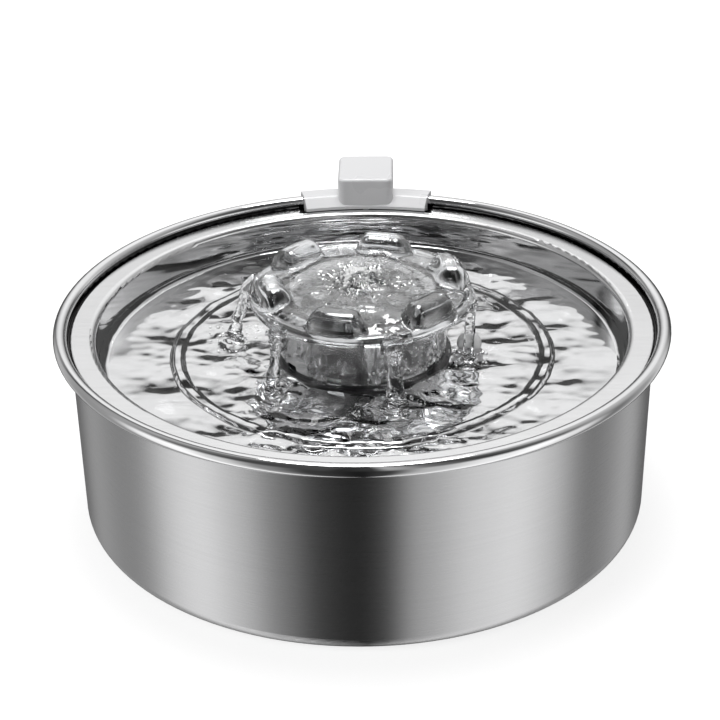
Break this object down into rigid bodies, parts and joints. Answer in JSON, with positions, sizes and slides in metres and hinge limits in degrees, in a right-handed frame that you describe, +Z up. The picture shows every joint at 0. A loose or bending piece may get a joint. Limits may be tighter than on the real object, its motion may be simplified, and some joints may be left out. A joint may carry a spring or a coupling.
{
  "type": "pet water fountain",
  "caption": "Round steel pet water fountain: deep bowl, drinking tray in its rim, pump and filter inside, petalled clear cap and a cord block on the rim.",
  "frame": {"origin": "middle of the bowl's flat base, on the surface that it stands on", "axes": "+Z up, -Y to the front, +Y to the cord block on the rim"},
  "size_m": [0.3, 0.322, 0.1228],
  "materials": {
    "brushed_bowl_steel": "brushed round the bowl",
    "polished_tray_steel": "mirror polished",
    "pedestal_steel": "mirror polished",
    "clear_plastic": "clear moulded plastic",
    "riser_plastic": "clear moulded plastic tube",
    "filter_plastic": "satin moulded plastic",
    "cotton": "felted fibre",
    "carbon": "granules",
    "foam": "open cell foam",
    "pump_plastic": "satin moulded plastic",
    "rotor_plastic": "moulded plastic",
    "ferrite": "sintered magnet",
    "ceramic": "ground ceramic",
    "black_rubber": "moulded rubber",
    "silicone": "translucent silicone",
    "lamination_steel": "stamped laminations",
    "copper": "enamelled winding",
    "board": "solder mask",
    "rim_plastic": "pale grey moulded plastic",
    "screw_steel": "zinc plated",
    "socket_black": "moulded plastic",
    "lead_sheath": "soft sheath"
  },
  "bodies": {
    "bowl": {"bowl": "brushed_bowl_steel", "pump_housing": "pump_plastic", "pump_inlet_cover": "pump_plastic", "pump_back_cover": "pump_plastic", "pump_feet": "silicone", "rotor_shaft": "ceramic", "shaft_bush_front": "black_rubber", "shaft_bush_rear": "black_rubber", "stator_core": "lamination_steel", "stator_coils": "copper", "driver_board": "board", "lead_grommet": "black_rubber", "pump_lead": "lead_sheath", "riser_seal": "silicone"},
    "rotor": {"impeller": "rotor_plastic", "rotor_magnet": "ferrite"},
    "regulator": {"flow_regulator": "rotor_plastic"},
    "saddle": {"rim_saddle": "rim_plastic", "cord_block_shell": "rim_plastic", "block_screws": "screw_steel", "socket_board": "board", "dc_socket": "socket_black", "socket_lead": "lead_sheath"},
    "tray": {"tray": "polished_tray_steel"},
    "filter": {"filter_box": "filter_plastic", "filter_ring": "filter_plastic", "filter_lid": "filter_plastic", "filter_cotton": "cotton", "carbon_bed": "carbon", "filter_sponge": "foam"},
    "pedestal": {"pedestal": "pedestal_steel"},
    "cap": {"fountain_cap": "clear_plastic", "riser_tube": "riser_plastic"}
  },
  "joints": [
    {"name": "tray_lift", "type": "slide", "parent": "bowl", "child": "tray", "axis": [0, 0, 1], "range_m": [0, 0.16]},
    {"name": "filter_lift", "type": "slide", "parent": "tray", "child": "filter", "axis": [0, 0, 1], "range_m": [0, 0.05]},
    {"name": "pedestal_lift", "type": "slide", "parent": "filter", "child": "pedestal", "axis": [0, 0, 1], "range_m": [0, 0.04]},
    {"name": "cap_lift", "type": "slide", "parent": "pedestal", "child": "cap", "axis": [0, 0, 1], "range_m": [0, 0.07]},
    {"name": "saddle_lift", "type": "slide", "parent": "bowl", "child": "saddle", "axis": [0, 0, 1], "range_m": [0, 0.03]},
    {"name": "impeller_spin", "type": "hinge", "parent": "bowl", "child": "rotor", "pos_m": [0, 0, 0.028], "axis": [0, -1, 0], "continuous": true},
    {"name": "regulator_turn", "type": "hinge", "parent": "bowl", "child": "regulator", "pos_m": [0, 0, 0.028], "axis": [0, -1, 0], "range_deg": [0, 45]}
  ]
}
